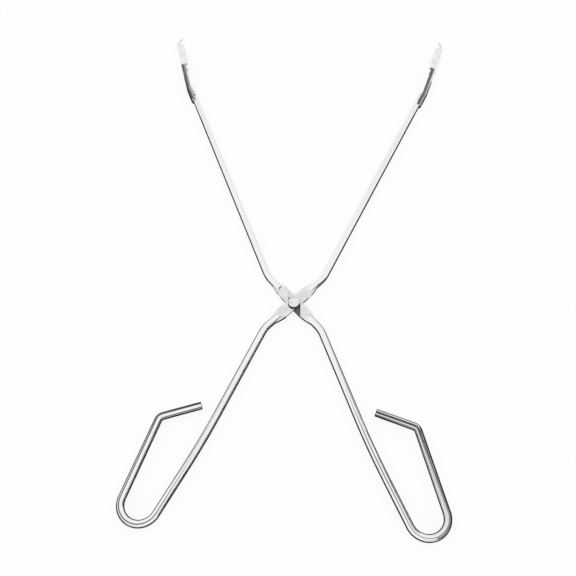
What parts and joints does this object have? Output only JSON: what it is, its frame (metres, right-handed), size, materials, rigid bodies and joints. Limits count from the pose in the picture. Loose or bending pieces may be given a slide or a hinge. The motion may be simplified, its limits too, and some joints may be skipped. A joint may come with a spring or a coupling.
{
  "type": "crucible tongs",
  "caption": "Long scissor-action tongs bent from round rod, with open finger loops, a riveted half-lap pivot and toothed, hooked jaws for lifting hot vessels.",
  "frame": {"origin": "centre of the open tongs' bounding box, in the middle plane of the rods; the rivet's axis crosses the long axis 52.9 mm behind it", "axes": "+Y from the handles to the jaws, +Z along the rivet to its domed head, +X to the jaw of the front arm"},
  "size_m": [0.2594, 0.4738, 0.009],
  "materials": {
    "rod": "polished, bright plated round rod with fine drawing lines",
    "jaw_sheet": "bright plated pressed sheet",
    "rivet": "peened steel head, satin with small dents",
    "weld": "dull weld metal"
  },
  "bodies": {
    "rear": {"rear_arm": "rod", "pivot_rivet": "rivet", "rear_jaw": "jaw_sheet", "rear_jaw_welds": "weld"},
    "front": {"front_arm": "rod", "front_jaw": "jaw_sheet", "front_jaw_welds": "weld"}
  },
  "joints": [
    {"name": "pivot", "type": "hinge", "parent": "rear", "child": "front", "pos_m": [0, -0.05292, 0], "axis": [0, 0, 1], "range_deg": [0, 46.9]}
  ]
}
